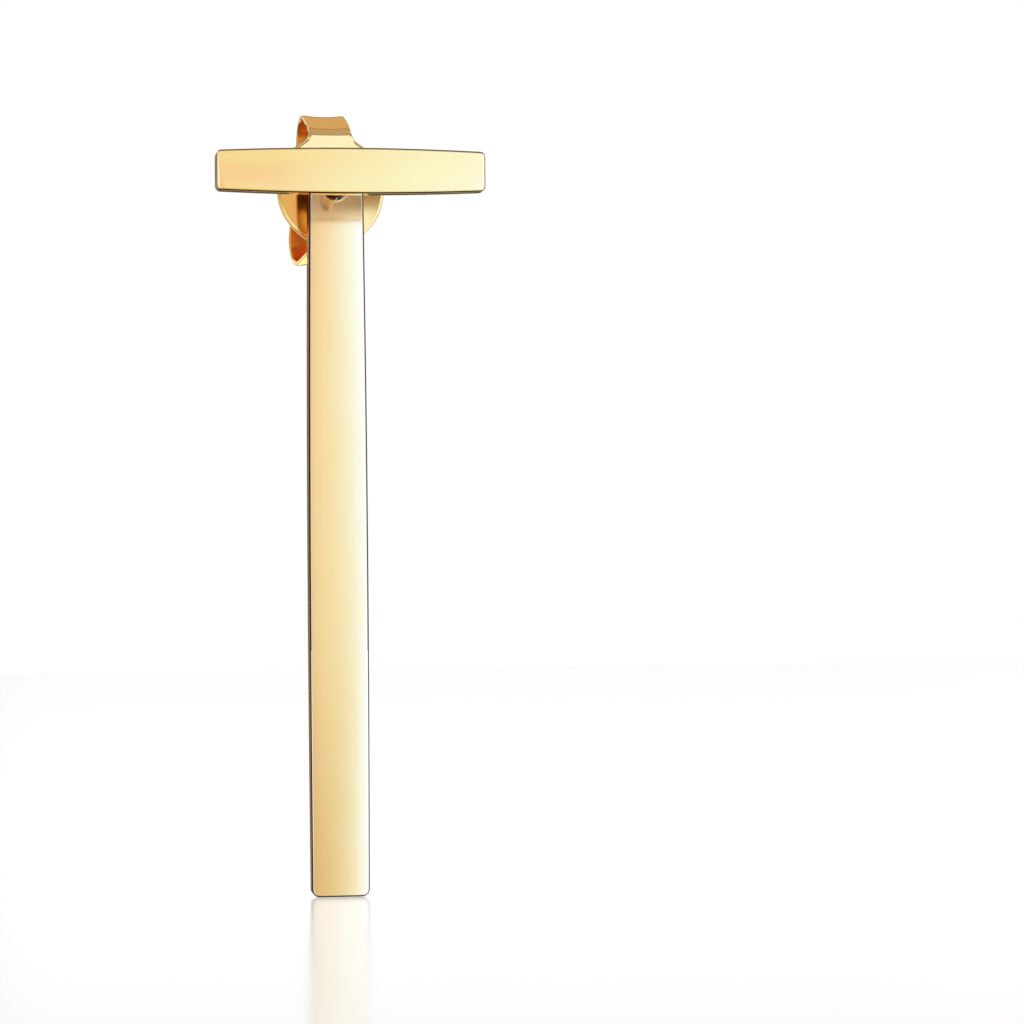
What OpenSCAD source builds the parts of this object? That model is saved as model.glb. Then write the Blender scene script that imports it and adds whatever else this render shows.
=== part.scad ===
// Bar earring. A short bar sits across the front of the ear lobe and carries a soldered post.
// A long bar hangs on the post behind the lobe, and a butterfly clutch holds both on.
// Millimetres, +Z up, and the front faces -Y. The origin is on the axis of the post, at the
// back face of the front bar, which is where the ear lobe sits.

/* [Front bar] */
// Length of the front bar, from end to end
front_len = 10; // [7:0.5:16]
// Height of the front bar at its middle
front_mid_h = 1.7; // [1.6:0.02:2.4]
// Height of the front bar at its left end, where polishing has narrowed it
front_left_h = 1.48; // [1.2:0.01:1.6]
// Height of the front bar at its right end
front_right_h = 1.47; // [1.2:0.01:1.6]
// Thickness of the front bar, from front to back
front_t = 0.95; // [0.7:0.05:1.6]
// Radius of the four corners of the front bar's outline
front_corner_r = 0.2; // [0.1:0.05:0.4]

/* [Post] */
// Diameter of the ear post
post_d = 0.8; // [0.7:0.05:1]
// Length of plain post behind the friction notch, with its rounded tip
post_end_len = 0.8; // [0.6:0.1:1.6]
// Radius of the rounding on the tip of the post
post_tip_r = 0.2; // [0.1:0.05:0.3]
// Width of the friction notch along the post
notch_w = 0.55; // [0.55:0.05:0.8]
// Depth of the friction notch, a rounded groove
notch_depth = 0.07; // [0.04:0.01:0.12]
// How far the solder fillet at the foot of the post spreads
solder_w = 0.12; // [0.05:0.01:0.2]

/* [Drop bar] */
// Length of the drop bar, from end to end
drop_len = 28.5; // [16:0.5:45]
// Width of the drop bar where it is widest
drop_mid_w = 2.3; // [2.26:0.02:3]
// Width of the drop bar at its top end
drop_top_w = 2.08; // [1.9:0.02:2.2]
// Width of the drop bar at its bottom end
drop_bottom_w = 2.24; // [1.9:0.02:2.26]
// Where the drop bar is widest, as a share of its length from the top
drop_widest = 0.62; // [0.4:0.02:0.8]
// Thickness of the drop bar at its top end
drop_top_t = 1.1; // [0.9:0.05:1.5]
// Thickness of the drop bar at its bottom end
drop_bottom_t = 0.85; // [0.7:0.05:0.9]
// Radius of the four corners of the drop bar's outline
drop_corner_r = 0.3; // [0.1:0.05:0.5]
// Diameter of the hole that the post goes through
drop_hole_d = 1; // [0.95:0.01:1]
// Distance from the middle of the hole to the top end of the drop bar
hole_to_top = 1.1; // [0.9:0.05:1.6]
// How far the hole sits left of the middle of the drop bar's width
hole_off = 0.04; // [0:0.01:0.1]
// Depth of the bevel round the mouth of the hole
hole_bevel = 0.05; // [0.02:0.01:0.1]
// Space for the ear lobe, from the front bar to the drop bar
lobe_gap = 5.2; // [4.6:0.1:7]

/* [Clutch] */
// Diameter of the dished disc
disc_d = 4.36; // [4:0.04:4.8]
// Depth of the dish, from its rim to its middle
dish_depth = 0.12; // [0.1:0.02:0.4]
// Thickness of the sheet that the clutch is stamped from
sheet_t = 0.2; // [0.15:0.01:0.25]
// Width of the strip that is curled into each scroll
strip_w = 1.7; // [1.2:0.1:2.2]
// Height of the upper scroll over the axis of the post
upper_reach = 3.12; // [2.9:0.02:3.2]
// Depth of the lower scroll under the axis of the post
lower_reach = 2.87; // [2.85:0.01:3.15]
// How far the scrolls reach behind the rim of the disc
scroll_depth = 3.05; // [2.9:0.05:3.4]
// Radius of the scroll's outer bend, at the middle of the sheet
scroll_r = 0.95; // [0.85:0.05:1]
// Radius of the fold between disc and strip, at the middle of the sheet
fold_r = 0.35; // [0.25:0.01:0.4]
// Height of the middle of the fold over the axis of the post
fold_h = 2.05; // [2:0.01:2.12]
// How far the clutch sits turned on the post, in degrees about the vertical
clutch_skew = 12; // [0:1:14]
// How far the upper scroll is bent back square, in degrees about the vertical
upper_twist = 7; // [0:1:9]
// Space between the drop bar and the nearest edge of the clutch
clutch_gap = 0.07; // [0.05:0.01:0.5]

/* [Finish] */
// Width of the softened edge round each bar
edge_w = 0.07; // [0.03:0.01:0.12]

/* [Fits] */
// Radial clearance between the post and the clutch
clutch_clearance = 0.04; // [0.02:0.01:0.08]
// Gap between the top of the post and the hole that hangs on it
hang_gap = 0.01; // [0.005:0.005:0.02]
// Space between the back of the clutch and the friction notch
notch_gap = 0.05; // [0.02:0.01:0.2]

/* [Hidden] */

gold = [0.93, 0.8, 0.5];
deep_gold = [0.88, 0.66, 0.3];

// Points along each side of a bar, along each corner, along each bend and across the notch
side_steps = 14;
corner_steps = 5;
bend_steps = 10;
notch_steps = 8;
// Facets of a true round
round_fn = 64;
// Thickness of the slices that a bar is spanned between
slice = 0.001;
// How far a cutter reaches past what it cuts
past = 0.5;

post_r = post_d / 2;
front_y = -front_t;

// The drop hangs with the top of its hole on the top of the post
hang = drop_hole_d / 2 - post_r - hang_gap;
drop_top_z = hole_to_top - hang;
drop_y = lobe_gap;
drop_back_y = drop_y + drop_top_t;

// The disc's rim is turned with the clutch, so its near edge stands forward of its middle
disc_r = disc_d / 2;
rim_y = drop_back_y + clutch_gap + disc_r * sin(clutch_skew);
clutch_back_y = rim_y + scroll_depth * cos(clutch_skew) + strip_w / 2 * sin(clutch_skew);

notch_y = clutch_back_y + notch_gap;
post_len = notch_y + notch_w + post_end_len;

// A bar's outline is widest at one place and narrows on a curve to each end
function side_at(x, len, peak, mid, low_end, high_end) =
    let (is_low = x < peak)
    let (run = is_low ? peak + len / 2 : len / 2 - peak)
    let (end = is_low ? low_end : high_end)
    mid / 2 - (mid - end) / 2 * pow((x - peak) / run, 2);

// Upper half of the outline, from the high end to the low end, with its two round corners
function upper_half(len, peak, mid, low_end, high_end, r, inset) =
    let (flat_end = len / 2 - r)
    let (high_z = side_at(flat_end, len, peak, mid, low_end, high_end) - r)
    let (low_z = side_at(-flat_end, len, peak, mid, low_end, high_end) - r)
    concat(
        [for (i = [0 : corner_steps])
            let (a = 90 * i / corner_steps)
            [flat_end + (r - inset) * cos(a), high_z + (r - inset) * sin(a)]],
        [for (i = [1 : side_steps - 1])
            let (x = flat_end * (1 - 2 * i / side_steps))
            [x, side_at(x, len, peak, mid, low_end, high_end) - inset]],
        [for (i = [0 : corner_steps])
            let (a = 90 + 90 * i / corner_steps)
            [-flat_end + (r - inset) * cos(a), low_z + (r - inset) * sin(a)]]
    );

// Whole outline: the upper half, and its mirror image from the low end back to the high end
function bar_outline(len, peak, mid, low_end, high_end, r, inset) =
    let (upper = upper_half(len, peak, mid, low_end, high_end, r, inset))
    concat(upper, [for (i = [len(upper) - 1 : -1 : 0]) [upper[i][0], -upper[i][1]]]);

function front_outline(inset) =
    bar_outline(front_len, 0, front_mid_h, front_left_h, front_right_h, front_corner_r, inset);

// The drop's outline is drawn lying down, with its top end at the right
function drop_outline(inset) =
    bar_outline(drop_len, drop_len * (0.5 - drop_widest), drop_mid_w,
        drop_bottom_w, drop_top_w, drop_corner_r, inset);

// Stands a flat outline upright, facing the front, with its front face at depth y
module upright(y, t)
    translate([0, y + t, 0])
        rotate([90, 0, 0])
            linear_extrude(height = t)
                children();

// Lays a piece that was made about Z along the post
module along_post()
    rotate([-90, 0, 0])
        children();

module front_bar_blank()
    hull() {
        upright(front_y, front_t)
            polygon(front_outline(edge_w));
        upright(front_y + edge_w, front_t - 2 * edge_w)
            polygon(front_outline(0));
    }

// Post with its solder fillet, its friction notch and its rounded tip
module post() {
    tip_base = post_len - post_tip_r;
    along_post()
        rotate_extrude($fn = round_fn)
            polygon(concat(
                [
                    [0, -front_t / 2],
                    [post_r + solder_w, -front_t / 2],
                    [post_r + solder_w, 0],
                    [post_r, solder_w]
                ],
                [for (i = [0 : notch_steps])
                    let (share = i / notch_steps)
                    [post_r - notch_depth * sin(180 * share), notch_y + notch_w * share]],
                [for (i = [0 : corner_steps])
                    let (a = 90 * i / corner_steps)
                    [post_r - post_tip_r + post_tip_r * cos(a), tip_base + post_tip_r * sin(a)]],
                [[0, post_len]]
            ));
}

module front_bar()
    color(gold)
        union() {
            front_bar_blank();
            post();
        }

// One slice of the drop's outline, upright, with the top end up
module drop_slice(inset, y)
    translate([hole_off, y, drop_top_z - drop_len / 2])
        upright(0, slice)
            rotate(90)
                polygon(drop_outline(inset));

// Turns the back face of the drop forward about its top edge, so that the bar thins downward
module thinned()
    translate([0, drop_back_y, drop_top_z])
        rotate([-atan((drop_top_t - drop_bottom_t) / drop_len), 0, 0])
            translate([0, -drop_back_y, -drop_top_z])
                children();

module drop_blank()
    hull() {
        drop_slice(edge_w, drop_y);
        drop_slice(0, drop_y + edge_w);
        thinned() {
            drop_slice(0, drop_back_y - edge_w - slice);
            drop_slice(edge_w, drop_back_y - slice);
        }
    }

module drop_hole() {
    hole_r = drop_hole_d / 2;
    translate([0, 0, -hang])
        along_post() {
            translate([0, 0, drop_y - past])
                cylinder(r = hole_r, h = drop_top_t + 2 * past, $fn = round_fn);
            translate([0, 0, drop_y - hole_bevel])
                cylinder(r1 = hole_r + 2 * hole_bevel, r2 = hole_r, h = 2 * hole_bevel, $fn = round_fn);
        }
}

module drop_bar()
    color(gold)
        difference() {
            drop_blank();
            drop_hole();
        }

// The clutch's side view is drawn in a plane where X is the depth behind the rim and Y is the
// height over the post. A place on a bend of centre c and radius r is given by its heading,
// the direction in which the strip runs there, because the strip always turns the same way.
function on_bend(c, r, heading) = c + r * [-sin(heading), cos(heading)];
function bend(c, r, from, to) =
    [for (i = [0 : bend_steps]) [on_bend(c, r, from + (to - from) * i / bend_steps),
        from + (to - from) * i / bend_steps]];

// Depth of the dish at a distance from its middle
function dish_at(r) = dish_depth * (1 - pow(r / disc_r, 2));

// Headings of the strip in the disc's rim, where the outer bend ends and at its free end
rim_heading = 90 + atan(2 * dish_depth / disc_r);
back_heading = -100;
tip_heading = -200;

// The strip starts inside the sheet of the disc, this far in from the fold
root_len = 0.3;
fold_c = [sheet_t / 2 + fold_r, fold_h];
root_p = on_bend(fold_c, fold_r, rim_heading) - root_len * [cos(rim_heading), sin(rim_heading)];

// Fold at the rim, the outer bend of the scroll, and the inner bend that rides on the post
function strip_path(reach) =
    let (outer_c = [scroll_depth - sheet_t / 2 - scroll_r, reach - sheet_t / 2 - scroll_r])
    let (fold_to_outer = outer_c - fold_c)
    let (flank_heading = atan2(fold_to_outer[1], fold_to_outer[0])
        + asin((scroll_r - fold_r) / norm(fold_to_outer)))
    let (back_p = on_bend(outer_c, scroll_r, back_heading))
    let (low_h = post_r + clutch_clearance + sheet_t / 2)
    let (inner_r = (back_p[1] - low_h) / (1 + cos(back_heading)))
    let (inner_c = back_p + inner_r * [sin(back_heading), -cos(back_heading)])
    concat(
        [[root_p, rim_heading]],
        bend(fold_c, fold_r, rim_heading, flank_heading),
        bend(outer_c, scroll_r, flank_heading, back_heading),
        bend(inner_c, inner_r, back_heading - 1, tip_heading)
    );

// One face of the strip, at a distance to the left of its middle line
function strip_face(path, side) =
    [for (p = path) p[0] + side * [-sin(p[1]), cos(p[1])]];

function backwards(list) = [for (i = [len(list) - 1 : -1 : 0]) list[i]];

module scroll(reach) {
    path = strip_path(reach);
    outer_face = strip_face(path, sheet_t / 2);
    inner_face = strip_face(path, -sheet_t / 2);
    rotate([90, 0, 90])
        translate([0, 0, -strip_w / 2])
            linear_extrude(height = strip_w)
                polygon(concat(outer_face, backwards(inner_face)));
}

module dished_disc() {
    front = [for (i = [0 : bend_steps]) let (r = disc_r * i / bend_steps) [r, dish_at(r)]];
    back = [for (p = backwards(front)) [p[0], p[1] + sheet_t]];
    along_post()
        rotate_extrude($fn = round_fn)
            polygon(concat(front, back));
}

module clutch()
    color(deep_gold)
        translate([0, rim_y, 0])
            difference() {
                rotate([0, 0, clutch_skew]) {
                    dished_disc();
                    rotate([0, 0, -upper_twist])
                        scroll(upper_reach);
                    mirror([0, 0, 1])
                        scroll(lower_reach);
                }
                along_post()
                    cylinder(r = post_r + clutch_clearance, h = dish_depth + 2 * sheet_t, $fn = round_fn);
            }

front_bar();
drop_bar();
clutch();
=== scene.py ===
# %% [markdown]
# # Bar earring
# The earring is three pieces of polished gold: a short bar that sits across the front of the
# ear lobe with the ear post soldered to its back, a long bar that hangs on the post behind the
# lobe, and a butterfly clutch of curled sheet. The frame already holds all three as exact
# solids. Here each one gets the mesh that a mirror finish needs, because polished gold shows
# every facet and every hard edge, and then its finish, the light, the floor and the camera.

# %% Load the frame
import math

import bmesh
import bpy
from mathutils import Matrix, Vector


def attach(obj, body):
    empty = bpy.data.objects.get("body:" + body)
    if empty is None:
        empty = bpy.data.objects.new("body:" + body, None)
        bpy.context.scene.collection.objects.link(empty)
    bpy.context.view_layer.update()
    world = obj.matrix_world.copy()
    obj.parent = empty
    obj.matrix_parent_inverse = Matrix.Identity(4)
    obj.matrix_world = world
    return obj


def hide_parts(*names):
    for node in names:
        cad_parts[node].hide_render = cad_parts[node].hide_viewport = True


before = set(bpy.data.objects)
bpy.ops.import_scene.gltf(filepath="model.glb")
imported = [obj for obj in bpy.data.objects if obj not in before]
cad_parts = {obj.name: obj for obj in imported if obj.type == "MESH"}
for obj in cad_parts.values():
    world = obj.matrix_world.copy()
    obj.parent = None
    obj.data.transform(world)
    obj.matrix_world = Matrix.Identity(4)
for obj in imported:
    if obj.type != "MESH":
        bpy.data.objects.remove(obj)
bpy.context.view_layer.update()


def in_mm(box):
    """A box in metres as rounded millimetres, for the prints."""
    return [[round(1000 * c, 2) for c in corner] for corner in box]


# %% [markdown]
# The sizes below are in millimetres, because a maker of earrings thinks in them. They are those
# of the solids, apart from the hole in the drop and the depth of the clutch's dish, which follow
# the photograph more closely. All meshes are drawn in millimetres and shrunk to metres at the
# end.

# %% Sizes of the earring in millimetres
MM = 0.001

FRONT_T = 0.95
FRONT_BAR = {"len": 10, "peak": 0, "mid_w": 1.7, "low_w": 1.48, "high_w": 1.47, "corner": 0.2}

POST_R = 0.4
POST_LEN = 11.383
POST_TIP_R = 0.2
NOTCH_Y = 10.033
NOTCH_W = 0.55
NOTCH_DEPTH = 0.07
SOLDER_W = 0.12

DROP_Y = 5.2
DROP_TOP_T = 1.1
DROP_BOTTOM_T = 0.85
DROP_BAR = {"len": 28.5, "peak": -3.42, "mid_w": 2.3, "low_w": 2.24, "high_w": 2.08, "corner": 0.3}
DROP_TOP_Z = 1.01
HOLE_R = 0.47
HOLE_OFF = 0.04
HOLE_Z = -0.09
HOLE_BEVEL = 0.07
HOLE_SLOPE = 0.176

DISC_R = 2.18
DISH_DEPTH = 0.18
SHEET_T = 0.2
STRIP_W = 1.7
SCROLL_DEPTH = 3.05
SCROLL_R = 0.95
FOLD_R = 0.35
UPPER_REACH = 3.12
LOWER_REACH = 2.87
CLUTCH_TURN = 12
UPPER_TWIST = 7
RIM_Y = 6.8233
CLEARANCE = 0.04

EDGE_R = 0.1
BACK_EDGE_R = 0.05

# %% [markdown]
# ## The camera
# The camera stands about 130 mm in front of the earring, a little to its left and level with
# the middle of the long bar, and looks slightly to the right. The place comes from fitting the
# bar ends, the drop and the clutch in the photograph. A long lens at that distance keeps the
# bars straight and still shows the left side of the drop as a thin strip.

# %% Camera
CAMERA_PLACE = (-13.553, -129.559, -12.648)
CAMERA_YAW = 0.15
CAMERA_ROLL = -0.007
FOCAL_PIXELS = 3500
FRAME_PIXELS = 1024

look = Vector((math.sin(CAMERA_YAW), math.cos(CAMERA_YAW), 0))
level_right = Vector((math.cos(CAMERA_YAW), -math.sin(CAMERA_YAW), 0))
up = Vector((0, 0, 1))
right = math.cos(CAMERA_ROLL) * level_right + math.sin(CAMERA_ROLL) * up
head = math.cos(CAMERA_ROLL) * up - math.sin(CAMERA_ROLL) * level_right

lens = bpy.data.cameras.new("camera")
lens.sensor_width = 36
lens.lens = FOCAL_PIXELS / FRAME_PIXELS * lens.sensor_width
lens.clip_start = 0.005
lens.clip_end = 10
camera = bpy.data.objects.new("camera", lens)
camera.matrix_world = Matrix((right, head, -look)).transposed().to_4x4()
camera.location = Vector(CAMERA_PLACE) * MM
bpy.context.scene.collection.objects.link(camera)
bpy.context.scene.camera = camera
print("lens:", round(lens.lens, 1), "mm")

# %% [markdown]
# ## Helpers for the meshes
# Every piece starts as bmesh geometry. These few helpers turn it into an object, take it
# through a modifier, and lay a round profile about the post, as a lathe does.

# %% From bmesh to an object
def object_from(bm, name):
    """Makes an object of a bmesh whose faces are turned outwards."""
    bmesh.ops.recalc_face_normals(bm, faces=bm.faces[:])
    mesh = bpy.data.meshes.new(name)
    bm.to_mesh(mesh)
    bm.free()
    made = bpy.data.objects.new(name, mesh)
    bpy.context.scene.collection.objects.link(made)
    return made


def bake_modifiers(made):
    """Replaces an object's mesh by what its modifiers make of it, and removes them."""
    graph = bpy.context.evaluated_depsgraph_get()
    result = bpy.data.meshes.new_from_object(made.evaluated_get(graph))
    made.modifiers.clear()
    made.data = result
    result.name = made.name


def join_with(made, tool, operation):
    """Adds a tool piece to an object, or cuts it out, and removes the tool."""
    step = made.modifiers.new(operation.lower(), "BOOLEAN")
    step.operation = operation
    step.solver = "EXACT"
    step.object = tool
    bake_modifiers(made)
    bpy.data.objects.remove(tool)


def finish_piece(made, metals, node, body, metal_of, crease=35):
    """Smooths a finished mesh, shrinks it to metres and hands it to the frame.

    metal_of(face) picks the metal of a face out of metals.
    """
    mesh = made.data
    mesh.materials.clear()
    for metal in metals:
        mesh.materials.append(metal)
    numbers = {metal.name: i for i, metal in enumerate(metals)}
    for face in mesh.polygons:
        face.material_index = numbers[metal_of(face).name]
    mesh.transform(Matrix.Scale(MM, 4))
    mesh.shade_smooth()
    mesh.set_sharp_from_angle(angle=math.radians(crease))
    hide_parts(node)
    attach(made, body)
    mesh.calc_loop_triangles()
    print(made.name, "triangles:", len(mesh.loop_triangles))


# %% Turned shapes about the line of the post
TURN_STEPS = 96


def turned(profile, name, z=0.0):
    """Turns a profile of (radius, depth) points about a line along Y, at a height."""
    bm = bmesh.new()
    angles = [2 * math.pi * i / TURN_STEPS for i in range(TURN_STEPS)]
    rings = []
    for radius, depth in profile:
        if radius == 0:
            rings.append([bm.verts.new((0, depth, z))])
            continue
        rings.append([
            bm.verts.new((radius * math.cos(a), depth, z + radius * math.sin(a)))
            for a in angles
        ])
    for ring, following in zip(rings, rings[1:]):
        for i in range(TURN_STEPS):
            j = (i + 1) % TURN_STEPS
            corners = [ring[i % len(ring)], ring[j % len(ring)],
                       following[j % len(following)], following[i % len(following)]]
            bm.faces.new(list(dict.fromkeys(corners)))
    return object_from(bm, name)


def arc(radius, start, end, steps, centre=(0.0, 0.0)):
    """Points on an arc in a plane, with the angles in degrees."""
    angles = [math.radians(start + (end - start) * i / steps) for i in range(steps + 1)]
    return [(centre[0] + radius * math.cos(a), centre[1] + radius * math.sin(a)) for a in angles]


# %% [markdown]
# ## Plates with softened edges
# Both bars, and the flat blank that the clutch is folded from, are plates: one outline with a
# thickness. A polisher always rounds the edges, and on a mirror finish that rounding is what
# draws the thin dark and bright lines round each face. So a plate here is a stack of copies of
# its outline, drawn in a little near each face along a quarter circle. A Bevel modifier could
# do this too, but with the stack the number of points is the same on every level, the faces
# are clean quads, and the flat faces can be cut into a grid that takes a slight crown. The die
# that stamps the clutch also presses its border down a little. That coined rim is two more
# levels of the stack.

# %% A plate from its outline
EDGE_STEPS = 9
FACE_MARGIN = 0.02
COIN_EASE = 0.1


def edge_levels(radius):
    """(drawn in, depth) of each level of a rounded edge, from the face to the side."""
    levels = [(radius + FACE_MARGIN, 0.0)]
    for i in range(EDGE_STEPS + 1):
        a = math.pi / 2 * i / EDGE_STEPS
        levels.append((radius * (1 - math.sin(a)), radius * (1 - math.cos(a))))
    return [*levels, (0.0, radius + FACE_MARGIN)]


def coined_levels(radius, width, depth):
    """The levels of an edge that a die has pressed down along a border of a width."""
    inner = radius + width
    return [
        (inner + FACE_MARGIN, 0.0), (inner, 0.0),
        (inner - COIN_EASE * width, COIN_EASE * depth),
        (inner - (1 - COIN_EASE) * width, (1 - COIN_EASE) * depth),
        *[(inset, down + depth) for inset, down in edge_levels(radius)[1:]],
    ]


def plate(outline, thickness, front_levels, back_levels):
    """A bmesh plate that faces -Y. outline(inset) gives its (x, z) points, drawn in by inset."""
    back = [(inset, thickness - depth) for inset, depth in back_levels]
    bm = bmesh.new()
    rings = [
        [bm.verts.new((x, depth, z)) for x, z in outline(inset)]
        for inset, depth in [*front_levels, *reversed(back)]
    ]
    for ring, following in zip(rings, rings[1:]):
        for i in range(len(ring)):
            j = (i + 1) % len(ring)
            bm.faces.new((ring[i], ring[j], following[j], following[i]))
    bm.faces.new(rings[0])
    bm.faces.new(list(reversed(rings[-1])))
    return bm


def score(bm, axis, places):
    """Cuts every face along planes that stand across an axis, to make a grid."""
    across = Vector((axis == "x", axis == "y", axis == "z"))
    for place in places:
        bmesh.ops.bisect_plane(
            bm, geom=bm.verts[:] + bm.edges[:] + bm.faces[:], dist=1e-5,
            plane_co=across * place, plane_no=across,
        )


def score_mesh(made, axis, places):
    """The same for an object's mesh."""
    bm = bmesh.new()
    bm.from_mesh(made.data)
    score(bm, axis, places)
    bm.to_mesh(made.data)
    bm.free()


# %% [markdown]
# ## The outline of a bar
# Neither bar is a plain rectangle. Each one is widest at one place and narrows on a gentle
# curve to its ends, because the polishing wheel takes more off there. The curve is a parabola
# on either side of the widest place, and the corners are small quarter circles.

# %% Outline of a bar
SIDE_STEPS = 36
CORNER_STEPS = 7


def half_width(x, bar):
    """Half the width of a bar at a distance along it from its middle."""
    half_len = bar["len"] / 2
    is_low = x < bar["peak"]
    run = half_len + bar["peak"] if is_low else half_len - bar["peak"]
    end = bar["low_w"] if is_low else bar["high_w"]
    return (bar["mid_w"] - (bar["mid_w"] - end) * ((x - bar["peak"]) / run) ** 2) / 2


def bar_outline(bar, inset):
    """Outline of a bar that lies along X, drawn in by inset."""
    flat_end = bar["len"] / 2 - bar["corner"]
    radius = bar["corner"] - inset
    high_z = half_width(flat_end, bar) - bar["corner"]
    low_z = half_width(-flat_end, bar) - bar["corner"]
    side = [flat_end * (1 - 2 * i / SIDE_STEPS) for i in range(1, SIDE_STEPS)]
    upper = [
        *arc(radius, 0, 90, CORNER_STEPS, (flat_end, high_z)),
        *[(x, half_width(x, bar) - inset) for x in side],
        *arc(radius, 90, 180, CORNER_STEPS, (-flat_end, low_z)),
    ]
    return upper + [(x, -z) for x, z in reversed(upper)]


# %% [markdown]
# ## The crown of a bar
# A hand polished face is never quite flat: it swells by a few hundredths of a millimetre
# towards its middle line. The eye doesn't see that as a shape, but the mirror image on the
# face runs from one side of the studio to the other because of it. The crown thins a plate
# towards its long edges, so nothing grows past the solid's box. The rounded edges in front take
# a much darker gold than the faces, a painted dark reflection that draws a thin dark outline
# along the faces. They are found by how far a face is turned, between looking sideways and
# looking forward.

# %% Crown and edges
EDGE_NORMALS = (0.2, 0.91)


def is_front_edge(face, split_y):
    """Whether a face lies on the rounded edge in front of a depth."""
    low, high = EDGE_NORMALS
    return face.center.y < split_y and low < abs(face.normal.y) < high


def press_faces(bm, front_y, back_y, front_in, back_in):
    """Draws the front face of a plate in by front_in(place) and its back face by back_in(place).

    What lies between the faces moves in proportion.
    """
    for vert in bm.verts:
        share = (vert.co.y - front_y) / (back_y - front_y)
        vert.co.y += (1 - share) * front_in(vert.co) - share * back_in(vert.co)


# %% [markdown]
# ## The finish: polished yellow gold
# Gold is a mirror with a colour, so the shader is a metal with a warm base colour and a very
# low roughness. A perfect mirror looks like plastic in a picture, so three small faults of a
# real polish are added: the roughness changes slowly over the face, where the buff pressed
# more or less, the surface waves by about a micrometre, and fine hairlines run along the bar.
# One recipe makes nine golds. Three are polished, for the front bar, the drop and the richer
# gold of the clutch. The others are a deeper one inside the scrolls, whose deeper orange is
# painted shade, satin for the back of the front bar, painted paler as painted light, one for
# the post, a dull one where the pieces bear on each other, painted dark brown as shade, and two
# dark ones for fine edges, which are painted dark reflections. Their colours were matched
# together with the light, not measured.

# %% Node helpers
def add_node(tree, kind, **settings):
    """Adds a shader node and sets its options, and its inputs where a name is an input's."""
    node = tree.nodes.new(kind)
    for key, value in settings.items():
        if hasattr(node, key):
            setattr(node, key, value)
        else:
            node.inputs[key].default_value = value
    return node


def linked_node(tree, kind, inputs, settings):
    """Adds a node with its options, and links or sets the inputs that it uses, in order."""
    node = tree.nodes.new(kind)
    for key, value in settings.items():
        setattr(node, key, value)
    for socket, value in zip([s for s in node.inputs if s.enabled], inputs):
        if isinstance(value, bpy.types.NodeSocket):
            tree.links.new(value, socket)
        else:
            socket.default_value = value
    return node


def sockets_of(kind, sockets):
    """The sockets of one kind that a Mix node uses."""
    return [socket for socket in sockets if socket.type == kind and socket.enabled]


# %% Recipe for a gold
# A plain metal shader turns white at a glancing angle, where gold hardly does
GLANCING_TINT = (1.0, 0.84, 0.58)


def gold(name, rich, pale, roughness, spread, wave, hairline, along):
    """A polished gold whose hairlines run along the axis with the smallest scale in along."""
    made = bpy.data.materials.new(name)
    made.use_nodes = True
    tree = made.node_tree
    shader = tree.nodes["Principled BSDF"]
    shader.inputs["Metallic"].default_value = 1.0
    shader.inputs["Specular Tint"].default_value = (*GLANCING_TINT, 1)
    place = add_node(tree, "ShaderNodeTexCoord")

    # Slow changes of tone and of polish, about two millimetres across
    clouds = add_node(tree, "ShaderNodeTexNoise", Scale=520.0, Detail=3.0, Roughness=0.55)
    tree.links.new(place.outputs["Object"], clouds.inputs["Vector"])
    tone = add_node(tree, "ShaderNodeMix", data_type="RGBA")
    for socket, colour in zip(sockets_of("RGBA", tone.inputs), (rich, pale)):
        socket.default_value = (*colour, 1)
    tree.links.new(clouds.outputs["Fac"], tone.inputs["Factor"])
    tree.links.new(sockets_of("RGBA", tone.outputs)[0], shader.inputs["Base Color"])

    # Hairlines left by the buff, a few hundredths of a millimetre apart
    stretch = add_node(tree, "ShaderNodeMapping")
    stretch.inputs["Scale"].default_value = along
    tree.links.new(place.outputs["Object"], stretch.inputs["Vector"])
    lines = add_node(tree, "ShaderNodeTexNoise", Scale=9000.0, Detail=4.0, Roughness=0.6)
    tree.links.new(stretch.outputs["Vector"], lines.inputs["Vector"])

    rough = add_node(tree, "ShaderNodeMapRange")
    rough.inputs["From Min"].default_value = 0.3
    rough.inputs["From Max"].default_value = 0.7
    rough.inputs["To Min"].default_value = roughness
    rough.inputs["To Max"].default_value = roughness + spread
    tree.links.new(clouds.outputs["Fac"], rough.inputs["Value"])
    tree.links.new(rough.outputs["Result"], shader.inputs["Roughness"])

    swell = add_node(tree, "ShaderNodeTexNoise", Scale=700.0, Detail=1.0)
    tree.links.new(place.outputs["Object"], swell.inputs["Vector"])
    swell_bump = add_node(tree, "ShaderNodeBump", Strength=1.0, Distance=wave)
    tree.links.new(swell.outputs["Fac"], swell_bump.inputs["Height"])
    line_bump = add_node(tree, "ShaderNodeBump", Strength=1.0, Distance=hairline)
    tree.links.new(lines.outputs["Fac"], line_bump.inputs["Height"])
    tree.links.new(swell_bump.outputs["Normal"], line_bump.inputs["Normal"])
    tree.links.new(line_bump.outputs["Normal"], shader.inputs["Normal"])
    return made


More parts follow.
